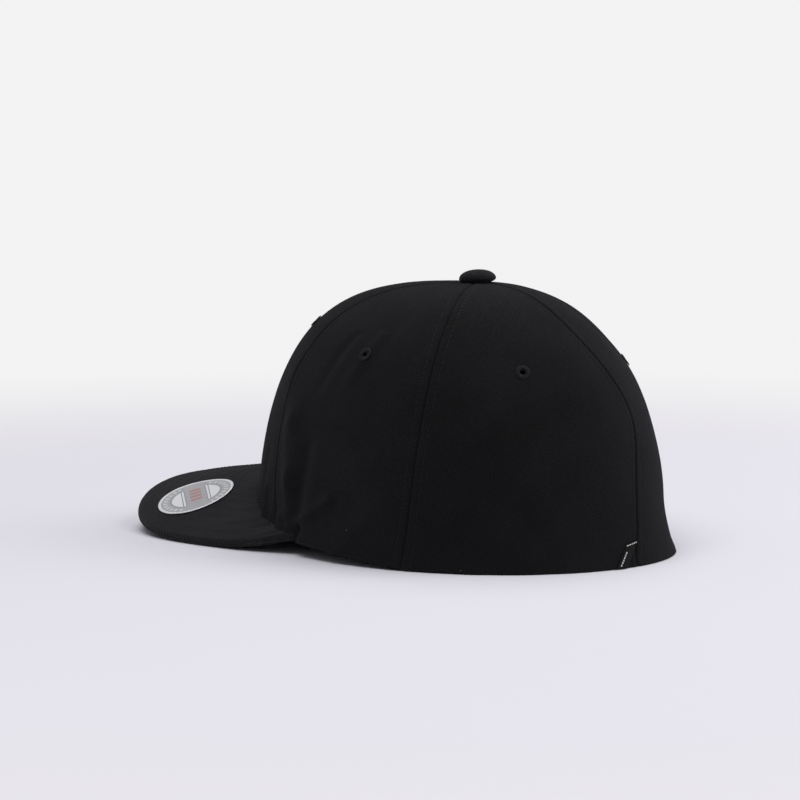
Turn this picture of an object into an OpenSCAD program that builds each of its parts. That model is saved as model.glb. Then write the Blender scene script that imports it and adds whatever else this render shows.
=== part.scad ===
// Six-panel stretch cap with a stiff curved visor and a removable impact insert.
// +Z is up, the hem rests on Z = 0, the visor points to -Y and the wearer's left is +X.
// Angles round the crown run from the front centre (0) to the wearer's left (90) and the back (180).

/* [Crown] */
// Length of the crown along the hem, front to back
crown_l = 215; // [190:1:240]
// Width of the crown along the hem, side to side
crown_w = 175.2; // [155:0.1:200]
// Height from the table to the top of the cloth under the button
crown_h = 128; // [105:1:150]
// How far the top sits behind the middle of the hem
top_back = 14; // [0:0.5:25]
// Fullness of the front panels, where 2 is an ellipse and more is a squarer shoulder
front_fullness = 3.4; // [2:0.1:4]
// Fullness over the ears
side_fullness = 2.4; // [2:0.1:3.5]
// Fullness of the back
back_fullness = 2.1; // [1.9:0.1:3]
// How far the hem kicks out at the back
back_flare = 8; // [0:0.5:12]
// How far the hem kicks out at the sides
side_flare = 5.2; // [0:0.1:10]
// Height over which the hem kicks out
flare_h = 28; // [15:1:45]
// Angle from the front to the seam between front and side panels, at the hem
front_seam = 59; // [48:1:66]
// The same seam's angle at the button
front_seam_top = 41; // [35:1:60]
// Angle from the front to the seam between side and back panels
back_seam = 113; // [100:1:130]
// Thickness of the panel cloth
cloth_t = 1.2; // [0.8:0.1:2]

/* [Hem] */
// How far the visor lifts the hem at the front centre
front_lift = 27; // [12:0.5:35]
// How far the hem stays lifted beside the visor's corners
side_lift = 5.5; // [0:0.5:10]
// Angle from the front over which the front's extra lift fades
lift_spread = 40; // [30:1:50]
// Angle from the front where the hem starts to come down to the table
lift_start = 70; // [60:1:80]
// Angle from the front where the hem meets the table
lift_end = 125; // [110:1:150]

/* [Lining] */
// Thickness of the stiff mesh behind the front panels
buckram_t = 0.75; // [0.4:0.05:1.2]
// Width of the tapes over the inside seams
tape_w = 14; // [8:1:20]
// Thickness of the tapes
tape_t = 0.5; // [0.3:0.05:0.8]
// Height of the sweatband
band_h = 32; // [20:1:40]
// Thickness of the stretch core of the sweatband
core_t = 0.9; // [0.5:0.1:1.5]
// Thickness of the face cloth of the sweatband
face_t = 0.9; // [0.5:0.1:1.5]

/* [Visor] */
// Width of the visor
visor_w = 185.4; // [165:0.1:215]
// How far the visor reaches in front of the crown's middle
visor_reach = 168; // [150:1:190]
// Distance of the visor's widest line in front of the crown's middle
visor_wide_y = 84.7; // [60:0.1:100]
// Squareness of the visor's front outline
visor_square = 2.65; // [2:0.05:4]
// Height of the visor's front edge above its side edges
visor_arch = 17.5; // [5:0.5:30]
// Angle from the front at which the visor's sides meet the crown
visor_corner = 70; // [55:1:80]
// Thickness of the plastic board
board_t = 1.7; // [1:0.1:2.5]
// Thickness of the visor's cover cloth
cover_t = 0.8; // [0.5:0.1:1.5]

/* [Button and eyelets] */
// Diameter of the covered button
button_d = 18; // [12:0.5:24]
// Height of the covered button
button_h = 7; // [5:0.5:10]
// Diameter of the button's shank
shank_d = 2.6; // [2:0.1:4]
// Height of the eyelets in the front, side and back panels above the table
eyelet_z = [107, 95.5, 90.5];
// Outside diameter of an eyelet
eyelet_d = 7; // [5:0.5:9]
// Diameter of the eyelet's hole
eyelet_hole_d = 2.7; // [1.5:0.1:4]

/* [Labels] */
// Diameter of the size sticker on the visor
sticker_d = 38.1; // [25:0.1:45]
// How far the sticker sits to the wearer's left
sticker_x = 54.5; // [40:0.5:60]
// How far the sticker sits in front of the crown's middle
sticker_y = 124; // [118:0.5:135]
// Width of the folded loop label
loop_w = 6.5; // [4:0.5:12]
// Height of the folded loop label
loop_h = 14; // [8:1:20]
// How far the label's foot lies to the left of its top
loop_lean = 9; // [0:1:12]
// Width of the care label
care_w = 20; // [12:1:30]
// Height of the care label
care_h = 18; // [12:1:25]

/* [Insert] */
// Gap between the sweatband and the trim of the insert
insert_gap = 0.5; // [0.4:0.1:3]
// Thickness of the insert's plastic shell
shell_t = 2.2; // [1.5:0.1:3]
// Thickness of the foam pads
pad_t = 5; // [3:0.5:8]
// How far the insert's edge reaches down inside the sweatband
insert_tuck = 4; // [0:0.5:10]
// Radius of the opening at the top of the insert
top_vent_r = 12; // [8:1:20]
// Diameter of the insert's side vents
vent_d = 9; // [5:1:14]
// Thickness of the soft trim on the insert's edge
trim_t = 2; // [1:0.5:3]

/* [Hidden] */
$fn = 48;

half_w = crown_w / 2;
half_l = crown_l / 2;
gap = 0.15; // clearance between layers that share their facets
loose = 0.4; // clearance between layers whose facets differ
rows = 18; // rows of facets from the hem to the button
first_row = 2; // row where the buckram and the tapes start above the hem
cols = 10; // columns of facets in one panel
hole_r = shank_d / 2 + 0.3; // hole in the cloth for the button's shank
tape_top_r = 24; // where the side tapes end below the button
buckram_in = cloth_t + gap;
front_tape_in = buckram_in + buckram_t + loose;
back_tape_in = cloth_t + loose;
core_in = front_tape_in + tape_t + loose;
face_in = core_in + core_t + gap / 3;
band_in = face_in + face_t; // inner face of the sweatband
trim_lip = 0.4; // how far the trim stands out from the insert's shell on each side
insert_in = band_in + insert_gap + trim_lip;
visor_t = board_t + 2 * cover_t + 2 * gap;
edge_v = 0.97; // where the visor's covers close round the board
edge_end = 112; // how far the outline's curve runs, where 90 is the widest line
corner_rise = 0.6; // share of the hem's lift that the visor's rear corners keep
stitch_h = 3; // height of the sewn foot of the sweatband
dark = [0.10, 0.10, 0.105];
foam = [0.20, 0.20, 0.21];
white = [0.85, 0.85, 0.85];

// Value that passes smoothly from the front over the side to the back
function lobe(t, front, side, back) = side + ((cos(t) > 0 ? front : back) - side) * pow(cos(t), 2);
function fullness(t) = lobe(t, front_fullness, side_fullness, back_fullness);
function flare(t) = lobe(t, 0, side_flare, back_flare);
function reach(t) = 1 / sqrt(pow(sin(t) / half_w, 2) + pow(cos(t) / half_l, 2));
function ease(k) = k <= 0 ? 0 : k >= 1 ? 1 : k * k * (3 - 2 * k);
function hem_z(t) = abs(t) >= lift_end ? 0 :
    side_lift * (1 - ease((abs(t) - lift_start) / (lift_end - lift_start)))
    + (front_lift - side_lift) * exp(-pow(t / lift_spread, 2));

// Point of the crown at angle t and slope angle p, which runs from 0 at Z = 0 to 90 at the top,
// with the given depth below the cloth's outer face
function crown(t, p, depth) = let (
        up = pow(sin(p), 2 / fullness(t)),
        kick = flare(t) * pow(max(0, 1 - crown_h * up / flare_h), 2),
        r = (reach(t) - depth) * pow(cos(p), 2 / fullness(t)) + kick
    ) [r * sin(t), top_back * up - r * cos(t), (crown_h - depth) * up];

// Slope angles at a given height, at a given radius from the top, and at one of the facet rows
function slope_at_z(t, z) = asin(pow(z / crown_h, fullness(t) / 2));
function slope_at_r(t, r) = acos(pow(r / reach(t), fullness(t) / 2));
function mix(a, b, k) = a + (b - a) * k;
function row_slope(t, row) =
    mix(slope_at_z(t, hem_z(t)), slope_at_r(t, hole_r), pow(row / rows, 1.5));

// Angle of a seam at a facet row. Seams are numbered from the back over the right side (-2), the
// right temple (-1), the front (0) and the left temple (1) to the left side (2) and the back (3).
function seam(i, row) = sign(i) * [0, mix(front_seam, front_seam_top, sin(90 * row / rows)),
    back_seam, 180][abs(i)];
function panel_columns(i, row) = [for (j = [0 : cols]) mix(seam(i, row), seam(i + 1, row), j / cols)];
round_columns = [for (i = [-3 : 2]) for (j = [0 : cols - 1]) mix(seam(i, 0), seam(i + 1, 0), j / cols)];

// Closed solid between two grids of points. Seen from outside, a grid's columns run to the right
// and its rows run up. A ring's last column joins its first.
module slab(outer, inner, ring = false) {
    n = len(outer[0]);
    last = len(outer) - 1;
    h = n * (last + 1);
    span = ring ? n - 1 : n - 2;
    skins = [for (i = [0 : last - 1], j = [0 : span])
        let (a = i * n + j, b = i * n + (j + 1) % n, c = a + n, d = b + n)
        each [[a, c, d], [a, d, b], [h + a, h + d, h + c], [h + a, h + b, h + d]]];
    foot = [for (j = [0 : span]) let (a = j, b = (j + 1) % n)
        each [[a, b, h + b], [a, h + b, h + a]]];
    head = [for (j = [0 : span]) let (a = last * n + j, b = last * n + (j + 1) % n)
        each [[b, a, h + a], [b, h + a, h + b]]];
    sides = ring ? [] : [for (i = [0 : last - 1]) let (a = i * n, c = a + n, b = a + n - 1, d = b + n)
        each [[c, a, h + c], [a, h + a, h + c], [b, d, h + d], [b, h + d, h + b]]];
    polyhedron([for (g = [outer, inner]) for (r = g) each r], concat(skins, foot, head, sides),
        convexity = 8);
}

// Layer of panel i, counted from the seam on its right, between two facet rows
module layer(i, lo, hi, outside, thick) {
    function grid(depth) = [for (k = [lo : hi])
        [for (t = panel_columns(i, k)) crown(t, row_slope(t, k), depth)]];
    slab(grid(outside), grid(outside + thick));
}

// Band between a lower and an upper slope angle, which are functions of the angle t
module belt(angles, lo, hi, steps, outside, thick, ring = false) {
    function grid(depth) = [for (k = [0 : steps])
        [for (t = angles) crown(t, mix(lo(t), hi(t), k / steps), depth)]];
    slab(grid(outside), grid(outside + thick), ring);
}

// Puts children on the crown's outer face with +Z pointing out of the cloth
module on_crown(t, p) {
    side = crown(t + 1, p, 0) - crown(t - 1, p, 0);
    rise = crown(t, p + 1, 0) - crown(t, p - 1, 0);
    out = cross(side, rise);
    translate(crown(t, p, 0))
        rotate([0, acos(out.z / norm(out)), atan2(out.y, out.x)])
            children();
}

// Puts children at the eyelet of panel i, halfway between its seams
module at_eyelet(i) {
    t = (seam(i, rows / 2) + seam(i + 1, rows / 2)) / 2;
    on_crown(t, slope_at_z(t, eyelet_z[abs(i + 0.5) - 0.5]))
        children();
}

module eyelet_bore(i) {
    at_eyelet(i)
        translate([0, 0, -6])
            cylinder(d = eyelet_hole_d + 1.3, h = 12);
}

// One of the six cloth panels, with its eyelet hole
module panel(i) {
    color(dark)
        difference() {
            layer(i, 0, rows, 0, cloth_t);
            eyelet_bore(i);
        }
}

module front_panel_left() panel(0);
module front_panel_right() panel(-1);
module side_panel_left() panel(1);
module side_panel_right() panel(-2);
module back_panel_left() panel(2);
module back_panel_right() panel(-3);

// Stiff mesh behind a front panel, clear of the hem and of the button
module buckram(i) {
    color(dark)
        difference() {
            layer(i, first_row, rows - 1, buckram_in, buckram_t);
            eyelet_bore(i);
        }
}

module front_buckram_left() buckram(0);
module front_buckram_right() buckram(-1);

// Points across a tape along seam i at one row, all of them at the given depth
function tape_row(i, row, depth) = let (
        t = seam(i, row),
        p = row_slope(t, row),
        r = reach(t) * pow(cos(p), 2 / fullness(t))
    ) [for (s = [-1 : 1]) crown(t + atan(s * tape_w / 2 / r), p, depth)];

// Tape over a side seam, from above the hem to below the button
module seam_tape(i, depth) {
    inside = [for (k = [first_row : rows])
        if (row_slope(seam(i, k), k) < slope_at_r(seam(i, k), tape_top_r)) k];
    function grid(d) = [for (k = inside) tape_row(i, k, d)];
    color(dark)
        slab(grid(depth), grid(depth + tape_t));
}

module seam_tape_front_left() seam_tape(1, front_tape_in);
module seam_tape_front_right() seam_tape(-1, front_tape_in);
module seam_tape_back_left() seam_tape(2, back_tape_in);
module seam_tape_back_right() seam_tape(-2, back_tape_in);

// Tape that runs from the front over the top to the back, with a hole for the rivet
module seam_tape_centre() {
    function grid(d) = concat(
        [for (k = [first_row : rows - 1]) tape_row(0, k, front_tape_in + d)],
        [for (k = [rows - 1 : -1 : first_row]) let (r = tape_row(3, k, back_tape_in + d))
            [r[2], r[1], r[0]]]);
    color(dark)
        difference() {
            slab(grid(0), grid(tape_t));
            translate([0, top_back, crown_h - 10])
                cylinder(r = hole_r, h = 20);
        }
}

// Rows of the sweatband: a sewn foot that lies on the panels, then the free band inside the tapes
function band_grid(depth) = [for (row = [[0.4, 1], [stitch_h, 1], [stitch_h + 3, 0], [band_h / 2, 0],
        [band_h, 0]])
    [for (t = round_columns) crown(t, slope_at_z(t, hem_z(t) + row[0]),
        depth - row[1] * (core_in - cloth_t - loose))]];

module sweatband_core() {
    color(foam)
        slab(band_grid(core_in), band_grid(core_in + core_t), true);
}

module sweatband_face() {
    color(dark)
        slab(band_grid(face_in), band_grid(face_in + face_t), true);
}

// Front edge of the visor, for k from -1 to 1. It curves in past its widest line to the crown.
function visor_edge(k) = let (
        a = edge_end * abs(k),
        back = max(0, a - 90) / (edge_end - 90),
        side = sign(k) * visor_w / 2 * pow(sin(a), 2 / visor_square),
        out = sign(cos(a)) * pow(abs(cos(a)), 2 / visor_square)
    ) [side, -mix(visor_wide_y, visor_reach, out),
        visor_arch * pow(max(0, cos(a)), 2.5) + corner_rise * hem_z(visor_corner) * pow(back, 2)];

// Surface of the visor at a height above its underside: v is 0 at the crown and 1 at the front edge
function visor_point(k, v, lift, edge_lift) = let (
        t = k * visor_corner,
        l = v > edge_v ? edge_lift : lift,
        root = crown(t, slope_at_z(t, hem_z(t) + lift), -gap),
        tip = visor_edge(k)
    ) [mix(root.x, tip.x, v), mix(root.y, tip.y, v), mix(hem_z(t), tip.z, v) + l];

function visor_grid(steps, lift, edge_lift) =
    [for (v = steps) [for (k = [-14 : 14]) visor_point(k / 14, v, lift, edge_lift)]];

covered = [1, edge_v, 0.85, 0.7, 0.5, 0.3, 0.15, 0];
bare = [edge_v - 0.01, 0.85, 0.7, 0.5, 0.3, 0.15, 0];
visor_mid = visor_t / 2;

module visor_board() {
    lift = cover_t + gap;
    color(white)
        slab(visor_grid(bare, lift + board_t, lift + board_t), visor_grid(bare, lift, lift));
}

module visor_top_cover() {
    color(dark)
        slab(visor_grid(covered, visor_t, visor_mid + cover_t),
            visor_grid(covered, visor_t - cover_t, visor_mid + gap / 3));
}

module visor_under_cover() {
    color(dark)
        slab(visor_grid(covered, cover_t, visor_mid - gap / 3),
            visor_grid(covered, 0, visor_mid - cover_t));
}

// Round sticker that bends with the visor
module size_sticker() {
    lift = visor_t + gap / 3;
    color([0.62, 0.62, 0.64])
        intersection() {
            slab(visor_grid(bare, lift + 0.3, lift + 0.3), visor_grid(bare, lift, lift));
            translate([sticker_x, -sticker_y, 0])
                cylinder(d = sticker_d, h = 60, $fn = 64);
        }
}

// Domed metal shell of the button, open below
module button_shell() {
    r = button_d / 2 - cover_t - gap;
    h = button_h - cover_t - 2 * gap;
    color(white)
        translate([0, top_back, crown_h + cover_t + 2 * gap])
            rotate_extrude()
                difference() {
                    button_outline(r, h - cover_t - gap);
                    translate([0, -0.01])
                        button_outline(r - 0.6, h - cover_t - gap - 0.6);
                }
}

// Half outline of a dome: a short upright rim and an arc over it
module button_outline(r, h) {
    rise = h * 0.75;
    arc_r = (r * r + rise * rise) / (2 * rise);
    intersection() {
        translate([0, h - arc_r])
            circle(arc_r, $fn = 96);
        square([r, h]);
    }
}

// Cloth that wraps the shell and turns in below it
module button_cover() {
    r = button_d / 2;
    color(dark)
        translate([0, top_back, crown_h + gap])
            rotate_extrude()
                difference() {
                    button_outline(r, button_h - gap);
                    translate([0, cover_t])
                        button_outline(r - cover_t, button_h - gap - 2 * cover_t);
                    square([r / 2, cover_t + 0.1]);
                }
}

// Rivet with a head inside the shell, a shank through the cloth and a washer inside the crown
module button_rivet() {
    top = crown_h + cover_t + 2 * gap + 2;
    low = crown_h - front_tape_in - tape_t - 2 * loose - 0.8;
    color(white)
        translate([0, top_back, 0]) {
            translate([0, 0, low])
                cylinder(d = shank_d, h = top - low);
            translate([0, 0, low])
                cylinder(d = 11, h = 0.8);
            translate([0, 0, top - 0.8])
                cylinder(d = 7, h = 0.8);
        }
}

// Embroidered ring with a flange on the cloth and a sleeve through it
module eyelet(i) {
    sleeve = (abs(i + 0.5) < 1 ? buckram_in + buckram_t : cloth_t) + 0.3;
    at_eyelet(i)
        difference() {
            union() {
                translate([0, 0, 0.1])
                    cylinder(d = eyelet_d, h = 0.6);
                translate([0, 0, -sleeve])
                    cylinder(d = eyelet_hole_d + 1.1, h = sleeve + 0.2);
            }
            translate([0, 0, -6])
                cylinder(d = eyelet_hole_d, h = 12);
        }
}

module eyelets() {
    color(dark)
        for (i = [-3 : 2])
            eyelet(i);
}

// Degrees round the back of the hem that span a length
function back_degrees(span) = span / (half_l + back_flare) * 180 / PI;

// Folded label that leans towards the back seam, sewn on outside just above the hem
module loop_label() {
    function grid(depth) = [for (k = [0 : 4]) [for (j = [0 : 2])
        crown(180 - back_degrees(1.6 + loop_lean * (1 - k / 4) + loop_w * (1 - j / 2)),
            slope_at_z(180, 0.3 + loop_h * k / 4), depth)]];
    color(dark)
        slab(grid(-gap - 0.8), grid(-gap));
}

// Care label sewn on the inner face of the sweatband, below the insert
module care_label() {
    a = back_degrees(care_w);
    angles = [for (j = [0 : 4]) 170 - a * (1 - j / 4)];
    top = band_h - insert_tuck - trim_t - 5;
    color(white)
        belt(angles, function (t) slope_at_z(t, top - care_h), function (t) slope_at_z(t, top), 4,
            band_in + loose, 0.3);
}

// Slope angles of the insert's lower edge and of a ring round the top
function insert_edge(t) = slope_at_z(t, hem_z(t) + band_h - insert_tuck);
pad_in = insert_in + shell_t + loose;

// Moulded plastic dome with vents
module insert_shell() {
    color([0.07, 0.07, 0.08])
        difference() {
            belt(round_columns, function (t) insert_edge(t), function (t) slope_at_r(t, top_vent_r),
                14, insert_in, shell_t, true);
            for (t = [15, 45, 135, 165, -15, -45, -135, -165])
                on_crown(t, 52)
                    translate([0, 0, -30])
                        cylinder(d = vent_d, h = 40);
        }
}

// Soft trim under the shell's edge
module insert_trim() {
    color(foam)
        belt(round_columns, function (t) slope_at_z(t, hem_z(t) + band_h - insert_tuck - trim_t - gap),
            function (t) slope_at_z(t, hem_z(t) + band_h - insert_tuck - gap), 1,
            insert_in - trim_lip, shell_t + 2 * trim_lip, true);
}

// Foam pad glued inside the shell between two angles
module side_pad(t0, t1) {
    angles = [for (j = [0 : 6]) mix(t0, t1, j / 6)];
    color(foam)
        belt(angles, function (t) insert_edge(t) + 3, function (t) 38, 5, pad_in, pad_t);
}

module insert_pad_front() side_pad(-36, 36);
module insert_pad_back() side_pad(144, 216);
module insert_pad_left() side_pad(58, 118);
module insert_pad_right() side_pad(-118, -58);

module insert_pad_top() {
    color(foam)
        belt(round_columns, function (t) 62, function (t) slope_at_r(t, top_vent_r + 4), 4,
            pad_in, pad_t, true);
}

front_panel_left();
front_panel_right();
side_panel_left();
side_panel_right();
back_panel_left();
back_panel_right();
front_buckram_left();
front_buckram_right();
seam_tape_centre();
seam_tape_front_left();
seam_tape_front_right();
seam_tape_back_left();
seam_tape_back_right();
sweatband_core();
sweatband_face();
visor_board();
visor_top_cover();
visor_under_cover();
button_shell();
button_cover();
button_rivet();
eyelets();
size_sticker();
loop_label();
care_label();
insert_shell();
insert_trim();
insert_pad_front();
insert_pad_back();
insert_pad_left();
insert_pad_right();
insert_pad_top();
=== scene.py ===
import math
from functools import lru_cache

import bmesh
import bpy
from mathutils import Matrix, Vector, noise
from mathutils.bvhtree import BVHTree
from mathutils.kdtree import KDTree


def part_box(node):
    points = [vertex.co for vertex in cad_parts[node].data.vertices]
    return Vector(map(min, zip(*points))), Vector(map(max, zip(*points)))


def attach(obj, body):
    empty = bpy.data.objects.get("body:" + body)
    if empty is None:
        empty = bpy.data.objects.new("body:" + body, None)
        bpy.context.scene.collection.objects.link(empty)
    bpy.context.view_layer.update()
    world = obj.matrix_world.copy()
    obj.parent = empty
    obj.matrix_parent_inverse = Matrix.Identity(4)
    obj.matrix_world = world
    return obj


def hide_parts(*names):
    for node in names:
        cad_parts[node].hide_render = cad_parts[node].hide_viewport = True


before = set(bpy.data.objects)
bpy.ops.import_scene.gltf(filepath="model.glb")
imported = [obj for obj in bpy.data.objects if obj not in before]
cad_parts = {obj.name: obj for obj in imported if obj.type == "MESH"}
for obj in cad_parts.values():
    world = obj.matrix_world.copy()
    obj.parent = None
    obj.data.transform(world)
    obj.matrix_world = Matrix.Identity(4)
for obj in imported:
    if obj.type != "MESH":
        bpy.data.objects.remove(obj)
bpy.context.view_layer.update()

# ---------------------------------------------------------------------------- Crown panels
# Six gores of black wool twill, seamed edge to edge and turned up at the hem. Handling has left
# soft folds above the visor's corners. Lengths are in millimetres, angles in degrees from the front.

MM = 0.001
crown_l = 215
crown_w = 175.2
crown_h = 128
top_back = 14
back_flare = 8
side_flare = 5.2
flare_h = 28
front_seam = 59
front_seam_top = 41
back_seam = 113
cloth_t = 1.2
front_lift = 27
side_lift = 5.5
lift_spread = 40
lift_start = 70
lift_end = 125
hole_r = 1.6
mm_per_degree = 1.66
grooved = 0.7
welted = 0.09
welt_off = 2.1
stitched_in = 0.1
near_seam = [0, 0.3, 0.7, 1.2, 1.9, 2.7, 3.4, 3.8, 4.2, 4.7, 5.6, 7.2]
panel_columns = 84
panel_rows = 104
stitch_line = 4
eyelet_z = [107, 95.5, 90.5]
seam_eye_r = 2.1

# Each soft fold runs from a foot to a head, both an angle and a height, and has a width and a height.
side_folds = [
    ((62.5, 35), (57, 62), 7.5, 1.25),
    ((56, 62), (44, 84), 9, 0.75),
    ((65, 14), (62.5, 37), 4, 0.85),
    ((69, 18), (68, 50), 5.5, -1.0),
    ((64, 10), (83, 28), 3, 0.9),
    ((64, 82), (67, 104), 4, -0.4),
    ((78, 84), (82, 104), 5, 0.4),
    ((70, 5), (71.5, 13), 2.4, -1.3),
    ((62, 6), (60.5, 16), 2.2, 0.9),
    ((65.5, 5), (64.5, 14), 1.8, -0.9),
    ((57, 8), (56, 19), 2.4, -0.6),
    ((49, 10), (47.5, 27), 3.4, 0.9),
    ((43, 12), (43, 46), 4, -0.5),
    ((90, 4), (99, 24), 5, 0.5),
    ((132, 2), (129, 26), 7, 0.5),
    ((152, 3), (150, 20), 6, -0.4),
]
back_dimple = ((207, 104), (214, 110), 11, -2.8)
fold_top = 106


def mix(a, b, k):
    return a + (b - a) * k


def ease(k):
    k = min(1.0, max(0.0, k))
    return k * k * (3 - 2 * k)


def bump(x, middle, spread):
    return math.exp(-((x - middle) / spread) ** 2)


def lobe(t, front, side, back):
    """Value that passes smoothly from the front over the side to the back."""
    along = math.cos(math.radians(t))
    return side + ((front if along > 0 else back) - side) * along ** 2


def fullness(t):
    return lobe(t, 3.4, 2.4, 2.1)


def reach(t):
    a = math.radians(t)
    return 1 / math.hypot(math.sin(a) / (crown_w / 2), math.cos(a) / (crown_l / 2))


def hem_z(t):
    t = abs((t + 180) % 360 - 180)
    if t >= lift_end:
        return 0.0
    side = side_lift * (1 - ease((t - lift_start) / (lift_end - lift_start)))
    return side + (front_lift - side_lift) * bump(t, 0, lift_spread)


def fold_height(t, z, fold):
    foot, head, width, height = fold
    across = (t - foot[0]) * mm_per_degree
    run = (head[0] - foot[0]) * mm_per_degree
    rise = head[1] - foot[1]
    k = (across * run + (z - foot[1]) * rise) / (run * run + rise * rise)
    k = min(1.0, max(0.0, k))
    apart = (across - k * run) ** 2 + (z - foot[1] - k * rise) ** 2
    return height * math.exp(-apart / width ** 2)


def softness(t, z):
    """How far the cloth stands proud of its cut shape, from folds and from slack."""
    spot = (t + 180) % 360 - 180
    total = 0.0
    if z < fold_top and 25 < abs(spot) < 170:
        shift, strength = (0, 1.5) if spot > 0 else (3, 1.2)
        total = strength * sum(fold_height(abs(spot) - shift, z, fold) for fold in side_folds)
    total += fold_height(t % 360, z, back_dimple)
    a = math.radians(t)
    slack = noise.noise(Vector((2.3 * math.sin(a), 2.3 * math.cos(a), z / 42)))
    fine = noise.noise(Vector((9 * math.sin(a), 9 * math.cos(a), z / 12 + 5)))
    calm = ease((crown_h - z) / 14)
    return (total + 0.7 * slack + 0.12 * fine) * calm


def crown(t, p, depth=0.0, soft=True):
    """Point in metres at angle t and slope p, in radians, some depth below the crown's outer face."""
    power = 2 / fullness(t)
    up = math.sin(p) ** power
    along = max(0.0, math.cos(p)) ** power
    kick = back_kick(t) * max(0.0, 1 - crown_h * up / flare_h) ** 2
    if soft:
        depth -= softness(t, crown_h * up)
    r = (reach(t) - depth) * along + kick
    a = math.radians(t)
    return Vector((r * math.sin(a), top_back * up - r * math.cos(a), (crown_h - depth) * up)) * MM


def back_kick(t):
    return lobe(t, 0, side_flare, back_flare)


def slope_at_z(t, z):
    return math.asin(min(1.0, max(0.0, z / crown_h) ** (fullness(t) / 2)))


def slope_at_r(t, r):
    return math.acos(min(1.0, (r / reach(t)) ** (fullness(t) / 2)))


def row_slope(t, v):
    """Slope at a share v of the way from the hem to the button."""
    return mix(slope_at_z(t, hem_z(t)), slope_at_r(t, hole_r), v ** 1.5)


def radius_at(t, p):
    return reach(t) * max(0.0, math.cos(p)) ** (2 / fullness(t))


def back_drift(v):
    """Degrees by which the back seam strays from the middle at a share v of its height."""
    z = crown_h * math.sin(math.pi / 2 * v ** 1.5)
    return 4.5 * bump(z, 68, 20) - 4.5 * bump(z, 112, 16) - 4 * bump(z, 0, 12)


def seam(i, v, drift=1):
    """Angle of a seam, counted from the back (-3) over the front (0) to the back again (3)."""
    front = mix(front_seam, front_seam_top, math.sin(math.pi / 2 * v))
    strays = drift * back_drift(v) if abs(i) == 3 else 0
    return math.copysign([0, front, back_seam, 180][abs(i)], i) + strays


def column_share(u, width):
    """Share of the panel's width at a column. The columns crowd beside both seams."""
    last = len(near_seam) - 1
    column = min(u, 1 - u) * panel_columns
    edge = near_seam[-1] * min(1.0, width / (3 * near_seam[-1]))
    if column <= last:
        out = near_seam[round(column)] * edge / near_seam[-1]
    else:
        out = mix(edge, width / 2, (column - last) / (panel_columns / 2 - last))
    return out / width if u < 0.5 else 1 - out / width


def panel_spot(i, u, v):
    """Angle, slope, distance to the nearest seam, and place on the flat cloth."""
    middle = (seam(i, v) + seam(i + 1, v)) / 2
    radius = radius_at(middle, row_slope(middle, v))
    width = radius * math.radians(seam(i + 1, v) - seam(i, v))
    k = column_share(u, width)
    t = mix(seam(i, v), seam(i + 1, v), k)
    return t, row_slope(t, v), width * min(k, 1 - k), width * (k - 0.5)


def seam_relief(off_seam):
    """Depth of the groove at a seam and of the line that the topstitching pulls in."""
    groove = grooved * bump(off_seam, 0, 0.5)
    welt = welted * bump(off_seam, welt_off, 1.3)
    return groove - welt + stitched_in * bump(off_seam, stitch_line, 0.5)


def eyelet_spot(i):
    t = (seam(i, 0.5, 0) + seam(i + 1, 0.5, 0)) / 2
    return t, slope_at_z(t, eyelet_z[round(abs(i + 0.5) - 0.5)])


def out_of_cloth(t, p, soft=True):
    """Matrix that puts +Z square out of the crown, +X along the hem and +Y up the crown."""
    side = crown(t + 1, p, 0, soft) - crown(t - 1, p, 0, soft)
    rise = crown(t, p + 0.01, 0, soft) - crown(t, p - 0.01, 0, soft)
    out = side.cross(rise).normalized()
    side.normalize()
    up = out.cross(side)
    return Matrix((side, up, out)).transposed().to_4x4(), crown(t, p, 0, soft)


def open_hole(bm, centre, axis, radius):
    """Takes out the faces inside a circle and draws the cut edge on to the circle."""
    def from_axis(point):
        off = point - centre
        return off - axis * off.dot(axis)

    def near(point):
        return (point - centre).length < 3 * radius

    middles = [(face, face.calc_center_median()) for face in bm.faces]
    inside = [f for f, m in middles if near(m) and from_axis(m).length < radius]
    bmesh.ops.delete(bm, geom=inside, context="FACES")
    for vert in bm.verts:
        if vert.is_boundary and near(vert.co):
            off = from_axis(vert.co)
            vert.co += off * (radius / off.length - 1)


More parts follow.
